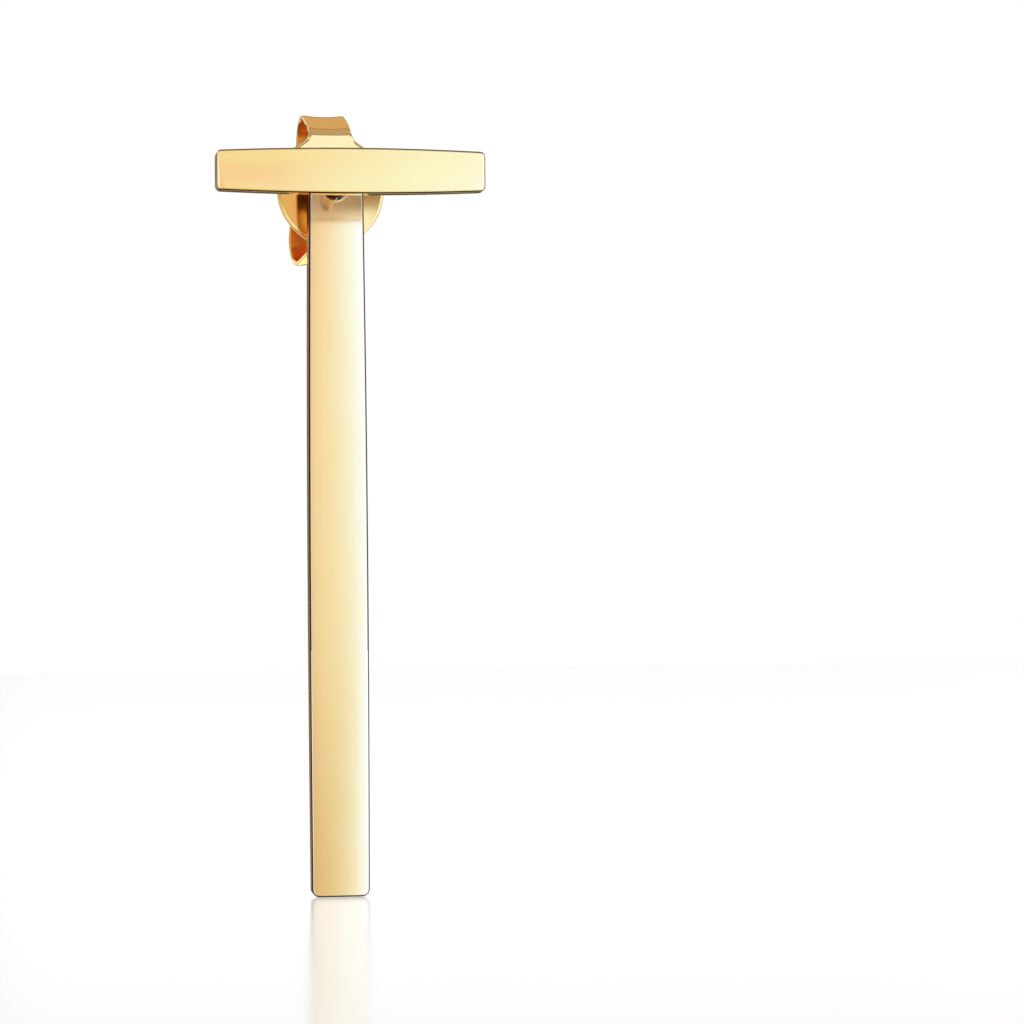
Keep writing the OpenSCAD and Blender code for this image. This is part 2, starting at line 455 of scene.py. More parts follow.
# %% The golds
# name, richest and palest tone, roughness and its spread, wave and hairline depth, directions
front_gold = gold("front_gold", (1.0, 0.66, 0.33), (1.0, 0.69, 0.36),
                  0.04, 0.03, 1.0e-6, 2.0e-8, (0.04, 1, 1))
drop_gold = gold("drop_gold", (1.0, 0.68, 0.43), (1.0, 0.715, 0.47),
                 0.08, 0.04, 1.0e-6, 2.0e-8, (1, 1, 0.04))
clutch_gold = gold("clutch_gold", (0.98, 0.575, 0.20), (1.0, 0.615, 0.235),
                   0.10, 0.06, 1.5e-6, 5.0e-8, (1, 1, 0.1))
# Rougher gold inside the scrolls, whose deeper orange is painted shade standing for gold mirrored
# in gold
inner_gold = gold("inner_gold", (1.0, 0.42, 0.09), (1.0, 0.46, 0.12),
                  0.30, 0.10, 1.5e-6, 2.0e-7, (1, 1, 0.1))
# Satin back of the front bar, painted paler as painted light, so that its reflection in the drop is
# brighter
satin_gold = gold("satin_gold", (0.98, 0.88, 0.74), (1.0, 0.91, 0.79),
                  0.34, 0.10, 1.0e-6, 4.0e-7, (0.04, 1, 1))
post_gold = gold("post_gold", (0.88, 0.70, 0.46), (0.94, 0.76, 0.51),
                 0.28, 0.10, 1.0e-6, 2.0e-7, (1, 0.1, 1))
# Dull worn gold, painted dark brown as shade, for the post and the hole walls where the drop and
# the clutch sit
worn_gold = gold("worn_gold", (0.25, 0.175, 0.125), (0.35, 0.25, 0.18),
                 0.50, 0.15, 2.0e-6, 6.0e-7, (1, 0.1, 1))
# Painted dark reflection: the thin dark line along the rounded front edges
edge_gold = gold("edge_gold", (0.24, 0.155, 0.085), (0.31, 0.21, 0.12),
                 0.15, 0.10, 1.0e-6, 1.0e-7, (0.04, 1, 1))
# Painted dark reflection: the black line along the left edge of the drop
deep_edge_gold = gold("deep_edge_gold", (0.05, 0.032, 0.018), (0.08, 0.055, 0.03),
                      0.15, 0.10, 1.0e-6, 1.0e-7, (1, 1, 0.04))

# %% [markdown]
# ## The front bar and the ear post
# A jeweller cuts the bar from sheet, polishes it and solders the post to its back, so bar and
# post are one piece of metal. The bar is a plate, the post is turned, with a hollow fillet of
# solder at its foot and a shallow groove near its end where a clutch clicks home, and a
# boolean union joins the two. The narrow facet at each end of the face is where the wheel runs
# off the bar, and it catches a different part of the room.

# %% Front bar
FACET_FROM = 4.85
FACET_WEDGE = 0.06
FACET_SLOPE = 0.3
FACET_CUT_STEP = 0.015
FRONT_GRID_X = [-4.6 + 0.23 * i for i in range(41)]
FRONT_GRID_X += [side * (FACET_FROM + FACET_CUT_STEP * i) for side in (-1, 1) for i in range(6)]
FRONT_GRID_Z = [0.1 * i for i in range(-6, 7)]
FRONT_HOLLOW = 0.012
FRONT_END_DROP = 0.05
FRONT_BACK_CROWN = 0.14


def front_face_in(co):
    """The face is very slightly hollow across, swells along, and has a facet at each end.

    The facets are narrow wedges, wider towards the bottom.
    """
    across = co.z / half_width(co.x, FRONT_BAR)
    facet_start = FACET_FROM + FACET_WEDGE * (0.5 + 0.5 * across)
    facet = FACET_SLOPE * max(0.0, abs(co.x) - facet_start)
    return (FRONT_HOLLOW * (1 - across ** 2) + facet
            + FRONT_END_DROP * (2 * co.x / FRONT_BAR["len"]) ** 2)


def front_back_in(co):
    """The back is rounded across, so that it's soft on the ear lobe."""
    return FRONT_BACK_CROWN * (co.z / half_width(co.x, FRONT_BAR)) ** 2


END_EDGE_SHARE = 0.6


def front_outline(inset):
    """The outline of the front bar, whose ends are drawn in less than its long sides."""
    half_len = FRONT_BAR["len"] / 2
    stretch = (half_len - END_EDGE_SHARE * inset) / (half_len - inset)
    return [(x * stretch, z) for x, z in bar_outline(FRONT_BAR, inset)]


bm = plate(front_outline, FRONT_T, edge_levels(EDGE_R), edge_levels(BACK_EDGE_R))
bmesh.ops.translate(bm, verts=bm.verts[:], vec=(0, -FRONT_T, 0))
score(bm, "x", FRONT_GRID_X)
score(bm, "z", FRONT_GRID_Z)
press_faces(bm, -FRONT_T, 0, front_face_in, front_back_in)
front_bar = object_from(bm, "front_bar_polished")

# %% Ear post
FILLET_STEPS = 8
NOTCH_STEPS = 16
# Between these depths the post is painted dark brown as shade, under the drop and the clutch
BEARING_FROM, BEARING_TO = 4.9, 7.4

tip_base = POST_LEN - POST_TIP_R
post_profile = [(0, -FRONT_T / 2), (POST_R + SOLDER_W, -FRONT_T / 2)]
post_profile += arc(SOLDER_W, 270, 180, FILLET_STEPS, (POST_R + SOLDER_W, SOLDER_W))
post_profile += [(POST_R, BEARING_FROM), (POST_R, BEARING_TO)]
post_profile += [
    (POST_R - NOTCH_DEPTH * math.sin(math.pi * i / NOTCH_STEPS) ** 2,
     NOTCH_Y + NOTCH_W * i / NOTCH_STEPS)
    for i in range(NOTCH_STEPS + 1)
]
post_profile += arc(POST_TIP_R, 0, 90, CORNER_STEPS, (POST_R - POST_TIP_R, tip_base))
post_profile += [(0, POST_LEN)]
join_with(front_bar, turned(post_profile, "post"), "UNION")

# %% Where each gold goes on the front bar
BACK_FACING = 0.8
BACK_BAND = 0.3
FILLET_BAND = 0.05


def front_metal(face):
    """The bar's back is left satin and painted paler as painted light, its top and bottom edges
    take a painted dark reflection, and the post is dull and painted dark brown as shade where the
    drop and the clutch sit on it.
    """
    # Painted shade on the post, in the drop's hole and under the clutch, with a dull worn finish
    if BEARING_FROM < face.center.y < BEARING_TO:
        return worn_gold
    in_fillet = math.hypot(face.center.x, face.center.z) < POST_R + SOLDER_W
    if face.center.y > 0.0 or (face.center.y > -FILLET_BAND and in_fillet):
        return post_gold
    # Painted dark reflection along the top and bottom rounded edges
    if is_front_edge(face, -FRONT_T / 2) and abs(face.normal.z) > abs(face.normal.x):
        return edge_gold
    # Satin back, painted paler as painted light
    if face.normal.y > BACK_FACING and face.center.y > -BACK_BAND:
        return satin_gold
    return front_gold


finish_piece(front_bar, [front_gold, satin_gold, post_gold, worn_gold, edge_gold], "front_bar",
             "front", front_metal)

# %% [markdown]
# ## The drop bar
# The long bar is made in the same way, but it gets thinner downward, and it hangs by a round
# hole, on which it turns freely about the post. The hole has a shallow countersink in front,
# which catches a thin ring of light, and a small bevel behind. It is cut with a turned tool
# before the face is crowned, which keeps it truly round.

# %% Drop bar
DROP_GRID_Z = [-27.2 + 0.42 * i for i in range(67)]
DROP_GRID_X = [-0.95, -0.9, -0.8, -0.7, -0.6, -0.4, -0.2, 0.0,
               0.2, 0.4, 0.6, 0.7, 0.8, 0.9, 1.0]
DROP_SIDE_DROP = 0.03
DROP_SIDE_ROLL = 0.011
DROP_END_DROP = 0.02

drop_middle_z = DROP_TOP_Z - DROP_BAR["len"] / 2


def drop_outline(inset):
    """The outline of the drop, stood upright with its top end up."""
    return [(-z + HOLE_OFF, x + drop_middle_z) for x, z in bar_outline(DROP_BAR, inset)]


bm = plate(drop_outline, DROP_TOP_T, edge_levels(EDGE_R), edge_levels(BACK_EDGE_R))
bmesh.ops.translate(bm, verts=bm.verts[:], vec=(0, DROP_Y, 0))
drop_bar = object_from(bm, "drop_bar_polished")

# %% Hole in the drop
BACK_BEVEL = 0.03
PAST = 0.4


def hole_tool(radius, front_bevel, back_bevel, front_y, back_y, slope=1.0, z=0.0):
    """A turned cutter for a hole with a bevel at each mouth, the front one with a slope."""
    return turned([
        (0, front_y - PAST),
        (radius + front_bevel + PAST / slope, front_y - PAST),
        (radius, front_y + front_bevel * slope),
        (radius, back_y - back_bevel),
        (radius + back_bevel + PAST, back_y + PAST),
        (0, back_y + PAST),
    ], "hole_tool", z=z)


join_with(
    drop_bar,
    hole_tool(HOLE_R, HOLE_BEVEL, BACK_BEVEL, DROP_Y, DROP_Y + DROP_TOP_T, HOLE_SLOPE, HOLE_Z),
    "DIFFERENCE",
)
score_mesh(drop_bar, "z", DROP_GRID_Z)
score_mesh(drop_bar, "x", DROP_GRID_X)

# %% Crown and taper of the drop
def drop_face_in(co):
    """Both faces of the drop swell towards their middle."""
    across = (co.x - HOLE_OFF) / half_width(co.z - drop_middle_z, DROP_BAR)
    along = 2 * (co.z - drop_middle_z) / DROP_BAR["len"]
    return (DROP_SIDE_DROP * across ** 2 + DROP_SIDE_ROLL * across ** 6
            + DROP_END_DROP * along ** 2)


def drop_back_in(co):
    """The back also comes forward towards the bottom, where the bar is thinner."""
    down = (DROP_TOP_Z - co.z) / DROP_BAR["len"]
    return drop_face_in(co) + (DROP_TOP_T - DROP_BOTTOM_T) * down


bm = bmesh.new()
bm.from_mesh(drop_bar.data)
press_faces(bm, DROP_Y, DROP_Y + DROP_TOP_T, drop_face_in, drop_back_in)
bm.to_mesh(drop_bar.data)
bm.free()

# %% Where each gold goes on the drop
WALL_MARGIN = 0.01
EDGE_BAND = 0.3


def drop_metal(face):
    """The wall of the drilled hole is not polished and is painted dark brown as shade, and the
    rounded front edges take a painted dark reflection, black on the left side.
    """
    off_axis = math.hypot(face.center.x, face.center.z - HOLE_Z)
    in_plate = DROP_Y + HOLE_BEVEL < face.center.y < DROP_Y + DROP_TOP_T - BACK_BEVEL
    # Painted shade in the hole, on an unpolished wall
    if in_plate and off_axis < HOLE_R + WALL_MARGIN:
        return worn_gold
    # Painted dark reflection on the rounded front edges, black on the left side
    if is_front_edge(face, DROP_Y + EDGE_BAND) and off_axis > 2 * HOLE_R:
        return deep_edge_gold if face.normal.x < -abs(face.normal.z) else edge_gold
    return drop_gold


finish_piece(drop_bar, [drop_gold, worn_gold, edge_gold, deep_edge_gold], "drop_bar", "drop",
             drop_metal)

# %% The rim of the countersink stays crisp
RIM_MARGIN = 0.002


def off_rim(vertex):
    """How far a vertex of the drop lies from the circle of the rim."""
    place = vertex.co / MM
    return abs(math.hypot(place.x, place.z - HOLE_Z) - HOLE_R - HOLE_BEVEL)


for edge in drop_bar.data.edges:
    if all(off_rim(drop_bar.data.vertices[i]) < RIM_MARGIN for i in edge.vertices):
        edge.use_edge_sharp = True

# %% [markdown]
# ## The clutch
# A butterfly clutch starts as a flat blank stamped from sheet: a disc with a hole, and a strip
# up and down. A press dishes the disc, and the strips are rolled back into two scrolls that
# spring against the post. The piece is made here in the same order. The blank is drawn flat,
# with its rounded edges, and a Geometry Nodes tree folds it: it reads how far each point is
# along the strip, and moves it to that distance along a middle line that runs up through the
# dish, over the fold and round the scroll. Because the blank has its thickness from the
# start, the sheet stays even in every bend.

# %% Middle line of the clutch
ROOT_Z = 2.03
ROOT_STEPS = 60
BACK_HEADING = -100
TIP_HEADING = -200
LINE_STEP = 0.03
DISC_CUP = DISH_DEPTH / DISC_R ** 2
STRIP_CUP = 0.1
CUP_EDGE = STRIP_CUP * (STRIP_W / 2) ** 2

# The dish leans a little, and straightens between two heights into the upper and the lower neck
DISC_CURVE = 0.127
DISC_LEAN = 0.037
UPPER_NECK = (1.0, 1.6)
LOWER_NECK = (1.5, 2.1)


def dish_line(neck, lean):
    """The middle line of the dish, as (depth behind the rim, height), and its last slope."""
    depth = SHEET_T / 2 + DISH_DEPTH
    line = [(depth, 0.0)]
    step = ROOT_Z / ROOT_STEPS
    for i in range(ROOT_STEPS):
        z = (i + 0.5) * step
        dished = min(max((neck[1] - z) / (neck[1] - neck[0]), 0.0), 1.0)
        slope = (DISC_CURVE * z + lean) * dished
        depth -= slope * step
        line.append((depth, (i + 1) * step))
    return line, slope


def bend(centre, radius, start, end):
    """Points of a bend between two headings, the directions in which the strip runs."""
    steps = max(3, round(math.radians(abs(end - start)) * radius / LINE_STEP))
    return arc(radius, start + 90, end + 90, steps, centre)


def half_line(reach, neck, lean):
    """The middle line from the middle of the disc to the free end of one scroll."""
    line, slope = dish_line(neck, lean)
    root = line[-1]
    root_heading = 90 + math.degrees(math.atan(slope))
    a = math.radians(root_heading)
    fold_centre = (root[0] + FOLD_R * math.sin(a), root[1] - FOLD_R * math.cos(a))
    half_sheet = SHEET_T / 2
    outer_centre = (
        SCROLL_DEPTH - half_sheet - CUP_EDGE - SCROLL_R,
        reach - half_sheet - CUP_EDGE - SCROLL_R,
    )
    away = (outer_centre[0] - fold_centre[0], outer_centre[1] - fold_centre[1])
    flank_heading = math.degrees(
        math.atan2(away[1], away[0]) + math.asin((SCROLL_R - FOLD_R) / math.hypot(*away))
    )
    line += bend(fold_centre, FOLD_R, root_heading, flank_heading)[1:]
    flank_end = bend(outer_centre, SCROLL_R, flank_heading, BACK_HEADING)
    start, finish = line[-1], flank_end[0]
    flank_steps = round(math.dist(start, finish) / LINE_STEP)
    line += [
        (start[0] + (finish[0] - start[0]) * i / flank_steps,
         start[1] + (finish[1] - start[1]) * i / flank_steps)
        for i in range(1, flank_steps)
    ]
    line += flank_end
    back = line[-1]
    b = math.radians(BACK_HEADING)
    low_z = POST_R + CLEARANCE + half_sheet
    inner_r = (back[1] - low_z) / (1 + math.cos(b))
    inner_centre = (back[0] + inner_r * math.sin(b), back[1] - inner_r * math.cos(b))
    line += bend(inner_centre, inner_r, BACK_HEADING, TIP_HEADING)[1:]
    return line


def lengths_along(line):
    """Distance of each point of a line from its start."""
    total = [0.0]
    for a, b in zip(line, line[1:]):
        total.append(total[-1] + math.dist(a, b))
    return total


upper_line = half_line(UPPER_REACH, UPPER_NECK, DISC_LEAN)
lower_line = half_line(LOWER_REACH, LOWER_NECK, -DISC_LEAN)
upper_len = lengths_along(upper_line)[-1]
lower_len = lengths_along(lower_line)[-1]
print("strip lengths, mm:", round(upper_len, 2), round(lower_len, 2))

# %% The middle line as a curve object
whole_line = [(y, -z) for y, z in reversed(lower_line)] + upper_line[1:]
line_data = bpy.data.curves.new("clutch_middle_line", "CURVE")
line_data.dimensions = "3D"
spline = line_data.splines.new("POLY")
spline.points.add(len(whole_line) - 1)
for point, (y, z) in zip(spline.points, whole_line):
    point.co = (0, y, z, 1)
middle_line = bpy.data.objects.new("clutch_middle_line", line_data)
bpy.context.scene.collection.objects.link(middle_line)

# %% Outline of the flat blank
NECK_R = 0.6
TIP_R = 0.3
DISC_STEPS = 40
NECK_STEPS = 10
STRIP_STEPS = 60
TIP_STEPS = 8


def quarter_blank(strip_len):
    """Right hand outline of one half of the blank, from the side of the disc to the strip's end."""
    neck_z = math.sqrt((DISC_R + NECK_R) ** 2 - (STRIP_W / 2 + NECK_R) ** 2)
    meet = math.degrees(math.atan2(neck_z, STRIP_W / 2 + NECK_R))
    disc = arc(DISC_R, 0, meet, DISC_STEPS)
    neck = arc(NECK_R, 180 + meet, 180, NECK_STEPS, (STRIP_W / 2 + NECK_R, neck_z))
    start_z = neck[-1][1]
    end_z = strip_len - TIP_R
    side = [
        (STRIP_W / 2, start_z + (end_z - start_z) * i / STRIP_STEPS)
        for i in range(1, STRIP_STEPS)
    ]
    tip = arc(TIP_R, 0, 90, TIP_STEPS, (STRIP_W / 2 - TIP_R, end_z))
    return disc + neck[1:] + side + tip


upper_quarter = quarter_blank(upper_len)
lower_quarter = [(x, -z) for x, z in quarter_blank(lower_len)]
right_side = list(reversed(lower_quarter)) + upper_quarter[1:]
blank_points = right_side + [(-x, z) for x, z in reversed(right_side)]


def blank_outline(inset):
    """The blank's outline, each point drawn in at right angles to the outline there."""
    drawn = []
    count = len(blank_points)
    for i, (x, z) in enumerate(blank_points):
        before = blank_points[i - 1]
        after = blank_points[(i + 1) % count]
        run = (after[0] - before[0], after[1] - before[1])
        size = math.hypot(*run)
        drawn.append((x - inset * run[1] / size, z + inset * run[0] / size))
    return drawn


# %% The flat blank
SHEET_EDGE_R = 0.045
COIN_WIDTH = 0.075
COIN_DEPTH = 0.027
POST_HOLE_R = 0.47
HOLE_EDGE = 0.03
MOUTH_WIDTH = 0.11
MOUTH_SLOPE = 0.15

bm = plate(blank_outline, SHEET_T, coined_levels(SHEET_EDGE_R, COIN_WIDTH, COIN_DEPTH),
           edge_levels(SHEET_EDGE_R))
bmesh.ops.translate(bm, verts=bm.verts[:], vec=(0, -SHEET_T / 2, 0))
clutch = object_from(bm, "clutch_sheet")
join_with(
    clutch,
    hole_tool(POST_HOLE_R, MOUTH_WIDTH, HOLE_EDGE, -SHEET_T / 2, SHEET_T / 2, MOUTH_SLOPE),
    "DIFFERENCE",
)

# %% Cuts that let the blank bend
DISH_CUTS = [0.12 * i for i in range(16)]
FOLD_CUTS = [1.9 + 0.035 * i for i in range(24)]
SIDE_CUTS = [0.17 * i for i in range(-12, 13)]
SCROLL_CUT_FROM = 2.75
SCROLL_CUT_STEP = 0.09
SCROLL_CUT_SPARE = 0.05


def scroll_cuts(strip_len):
    """Places of the cuts along one scroll, which stop short of its end."""
    count = int((strip_len - SCROLL_CUT_FROM - SCROLL_CUT_SPARE) / SCROLL_CUT_STEP)
    return [SCROLL_CUT_FROM + SCROLL_CUT_STEP * i for i in range(count)]


score_mesh(clutch, "z", DISH_CUTS + FOLD_CUTS + scroll_cuts(upper_len))
score_mesh(clutch, "z", [-z for z in DISH_CUTS[1:] + FOLD_CUTS + scroll_cuts(lower_len)])
score_mesh(clutch, "x", SIDE_CUTS)

# %% Faces inside the scrolls and in the mouth of the hole
# They are picked while the blank is flat, and keep their numbers when it is folded
FLAT_NORMAL = 0.995

# Faces inside the scrolls, which get the deeper orange of painted shade
inner_faces = {
    face.index for face in clutch.data.polygons
    if face.normal.y > BACK_FACING and abs(face.center.z) > ROOT_Z
}
# Faces in the mouth of the hole, which get worn gold painted dark brown as shade
worn_and_shaded_faces = {
    face.index for face in clutch.data.polygons
    if math.hypot(face.center.x, face.center.z) < POST_HOLE_R + MOUTH_WIDTH
    and abs(face.normal.y) < FLAT_NORMAL
}
print("blank faces:", len(clutch.data.polygons), "of which inside the scrolls:", len(inner_faces))

# %% [markdown]
# The tree that folds the blank has its sizes as named inputs. Two details make the sheet look
# stamped: its sides stay cupped on the strips, more weakly towards the end of each scroll, and
# the upper strip is twisted back a few degrees, as it is in the photograph.

# %% Geometry Nodes tree that folds the blank
fold_sizes = {
    "Lower length": lower_len,
    "Disc cup": DISC_CUP,
    "Strip cup": STRIP_CUP,
    "Disc ends": 2.0,
    "Strip starts": 2.8,
    "Cup fades from": 4.6,
    "Cup fades to": 7.0,
    "Upper twist": math.radians(UPPER_TWIST),
    "Turn on post": math.radians(CLUTCH_TURN),
    "Rim depth": RIM_Y,
}
fold_tree = bpy.data.node_groups.new("fold_clutch", "GeometryNodeTree")


def tree_input(name, kind):
    """Adds a named input to the folding tree."""
    return fold_tree.interface.new_socket(name, in_out="INPUT", socket_type=kind)


tree_input("Blank", "NodeSocketGeometry")
fold_sockets = {"Middle line": tree_input("Middle line", "NodeSocketObject")}
for label, value in fold_sizes.items():
    fold_sockets[label] = tree_input(label, "NodeSocketFloat")
    fold_sockets[label].default_value = value
fold_sockets["Metal"] = tree_input("Metal", "NodeSocketMaterial")
fold_tree.interface.new_socket("Clutch", in_out="OUTPUT", socket_type="NodeSocketGeometry")
group_in = fold_tree.nodes.new("NodeGroupInput")
group_out = fold_tree.nodes.new("NodeGroupOutput")


def geo(kind, *inputs, **settings):
    """Adds a node to the folding tree."""
    return linked_node(fold_tree, kind, inputs, settings)


def maths(operation, *inputs):
    """The result of an operation on numbers."""
    return geo("ShaderNodeMath", *inputs, operation=operation).outputs[0]


def vector_maths(operation, *inputs):
    """The result of an operation on vectors."""
    return geo("ShaderNodeVectorMath", *inputs, operation=operation).outputs[0]


def ramp(value, start, end, low=0.0, high=1.0):
    """Runs smoothly from low to high while value goes from start to end."""
    return geo("ShaderNodeMapRange", value, start, end, low, high,
               interpolation_type="SMOOTHSTEP").outputs[0]


# %% Where each point of the blank goes
CUP_LEFT = 0.35

flat = geo("ShaderNodeSeparateXYZ", geo("GeometryNodeInputPosition").outputs[0])
side, through, along = flat.outputs[:]
distance = maths("ABSOLUTE", along)
disc_ends = group_in.outputs["Disc ends"]
strip_starts = group_in.outputs["Strip starts"]

line_shape = geo("GeometryNodeObjectInfo", group_in.outputs["Middle line"])
sample = geo("GeometryNodeSampleCurve", mode="LENGTH", use_all_curves=True)
fold_tree.links.new(line_shape.outputs["Geometry"], sample.inputs["Curves"])
fold_tree.links.new(maths("ADD", along, group_in.outputs["Lower length"]), sample.inputs["Length"])
on_line = sample.outputs["Position"]
tangent = sample.outputs["Tangent"]
inward = vector_maths("NORMALIZE", vector_maths("CROSS_PRODUCT", tangent, (1, 0, 0)))

# The cup draws the sides of the sheet outward, straight forward on the disc and at right
# angles to the sheet on the strips
on_strip = ramp(distance, disc_ends, strip_starts)
mixed = geo("ShaderNodeMix", on_strip, data_type="VECTOR")
disc_way, strip_way = sockets_of("VECTOR", mixed.inputs)
disc_way.default_value = (0, 1, 0)
fold_tree.links.new(inward, strip_way)
cup_way = vector_maths("NORMALIZE", sockets_of("VECTOR", mixed.outputs)[0])
fade = ramp(distance, group_in.outputs["Cup fades from"], group_in.outputs["Cup fades to"],
            1.0, CUP_LEFT)
side_squared = maths("MULTIPLY", side, side)
cup_here = ramp(distance, disc_ends, strip_starts,
                group_in.outputs["Disc cup"], group_in.outputs["Strip cup"])
cup_now = maths("MULTIPLY", side_squared, maths("MULTIPLY", cup_here, fade))
cup_shift = geo("ShaderNodeVectorMath", cup_way, operation="SCALE")
fold_tree.links.new(maths("MULTIPLY", cup_now, -1.0), cup_shift.inputs["Scale"])
sheet_shift = geo("ShaderNodeVectorMath", inward, operation="SCALE")
fold_tree.links.new(through, sheet_shift.inputs["Scale"])
across = geo("ShaderNodeCombineXYZ", side, 0.0, 0.0).outputs[0]
folded = vector_maths(
    "ADD", vector_maths("ADD", on_line, across),
    vector_maths("ADD", cup_shift.outputs[0], sheet_shift.outputs[0]),
)

# %% The twist of the upper strip, then the turn of the whole clutch on the post
TWIST_RUN_ON = 0.2

twist_share = ramp(along, disc_ends, maths("ADD", strip_starts, TWIST_RUN_ON))
twist_back = maths("MULTIPLY", group_in.outputs["Upper twist"], -1.0)
twist_angle = maths("MULTIPLY", twist_share, twist_back)


def turned_about_z(vector, angle):
    """A vector turned about the upright axis by an angle in radians."""
    node = geo("ShaderNodeVectorRotate", rotation_type="Z_AXIS")
    fold_tree.links.new(vector, node.inputs["Vector"])
    fold_tree.links.new(angle, node.inputs["Angle"])
    return node.outputs[0]


twisted = turned_about_z(folded, twist_angle)
placed = vector_maths(
    "ADD", turned_about_z(twisted, group_in.outputs["Turn on post"]),
    geo("ShaderNodeCombineXYZ", 0.0, group_in.outputs["Rim depth"], 0.0).outputs[0],
)

# %% The tree's ending
moved = geo("GeometryNodeSetPosition")
fold_tree.links.new(group_in.outputs["Blank"], moved.inputs["Geometry"])
fold_tree.links.new(placed, moved.inputs["Position"])
real = geo("GeometryNodeRealizeInstances", moved.outputs[0])
metal = geo("GeometryNodeSetMaterial")
fold_tree.links.new(real.outputs[0], metal.inputs["Geometry"])
fold_tree.links.new(group_in.outputs["Metal"], metal.inputs["Material"])
fold_tree.links.new(metal.outputs[0], group_out.inputs[0])

# %% Fold the blank
fold = clutch.modifiers.new("fold", "NODES")
fold.node_group = fold_tree
fold_values = {"Middle line": middle_line, **fold_sizes, "Metal": clutch_gold}
for label, value in fold_values.items():
    fold[fold_sockets[label].identifier] = value
bake_modifiers(clutch)
bpy.data.objects.remove(middle_line)


# %% Where each gold goes on the clutch
def clutch_metal(face):
    """The sheet is less polished inside the scrolls and painted a deeper orange there as painted
    shade, and worn and painted dark brown as shade in the mouth of the hole.
    """
    # Painted shade in the hole's mouth, and a deeper painted shade inside the scrolls
    if face.index in worn_and_shaded_faces:
        return worn_gold
    return inner_gold if face.index in inner_faces else clutch_gold


finish_piece(clutch, [clutch_gold, inner_gold, worn_gold], "clutch", "clutch",
             clutch_metal, crease=45)
along_axes = list(zip(*[vertex.co for vertex in clutch.data.vertices]))
clutch_box = [[pick(places) for places in along_axes] for pick in (min, max)]
print("clutch box, mm:", in_mm(clutch_box))

# %% [markdown]
# ## Light
# What a mirror shows is the room, so the room is most of the look. It is a studio of soft
# panels: a large one in front that grows brighter and cooler to the right, three to its left
# that get dimmer outward, a grey ceiling, and others at the sides and behind, bright or dark.
# Lamps could stand in for the panels, but painting them by direction in the world shader gives
# each one a soft edge of its own. Most of the bright ones are bluish, because gold takes the
# blue out of what it mirrors. The camera itself sees a plain white backdrop.

# %% World by direction
world = bpy.data.worlds.new("studio")
bpy.context.scene.world = world
world.use_nodes = True
sky = world.node_tree
sky.nodes.clear()


def sky_node(kind, *inputs, **settings):
    """Adds a node to the world shader."""
    return linked_node(sky, kind, inputs, settings)


def sky_math(operation, *inputs):
    """The result of an operation on numbers in the world shader."""
    return sky_node("ShaderNodeMath", *inputs, operation=operation).outputs[0]


def step_between(value, start, end):
    """0 before start, 1 after end, and smooth between them."""
    return sky_node("ShaderNodeMapRange", value, start, end, 0.0, 1.0,
                    interpolation_type="SMOOTHSTEP").outputs[0]


def window(value, start, end, soft):
    """1 between start and end with soft sides, and 0 elsewhere."""
    rise = step_between(value, start - soft, start + soft)
    fall = step_between(value, end - soft, end + soft)
    return sky_math("SUBTRACT", rise, fall)


direction = sky_node("ShaderNodeTexCoord").outputs["Generated"]
parts = sky_node("ShaderNodeSeparateXYZ", direction)
to_front = sky_math("MULTIPLY", parts.outputs["Y"], -1.0)
azimuth = sky_math("DEGREES", sky_math("ARCTAN2", parts.outputs["X"], to_front))
elevation = sky_math("DEGREES", sky_math("ARCSINE", parts.outputs["Z"]))

# %% The panels of the studio
# The front panel gets brighter and cooler to the right
FRONT_TONES = [
    # degrees to the right of the front, colour
    (-8, (0.82, 0.81, 0.62)),
    (-3, (0.88, 0.93, 0.70)),
    (0, (0.91, 1.00, 0.76)),
    (2.5, (0.92, 1.07, 0.84)),
    (4.5, (0.935, 1.13, 1.02)),
    (6.5, (0.945, 1.22, 1.30)),
    (8.5, (0.955, 1.35, 1.54)),
    (11, (0.98, 1.38, 1.88)),
    (14, (1.00, 1.45, 2.20)),
    (22, (1.00, 1.48, 2.30)),
]
# azimuth from, to, soft, elevation from, to, soft
FRONT_WINDOW = (-19, 68, 3, -38, 30, 4)
LEAN = 0.35
LEAN_FROM, LEAN_LEVEL, LEAN_TO = -3, 5.0, 10
# Towards the table the left part of the front panel is dimmer and warmer
LOW_TONE = (0.83, 0.75, 0.61)
LOW_FROM, LOW_TO = -7, -1.5
LOW_ENDS_FROM, LOW_ENDS_TO = 1, 12
# A peach band between two heights in the left part of the front panel
PEACH_TONE = (1.0, 0.86, 0.93)
PEACH_FROM, PEACH_TO = 3.8, 5.2
PEACH_HIGH_FROM, PEACH_HIGH_TO = 6.8, 9
PEACH_ENDS_FROM, PEACH_ENDS_TO = 3, 5.5

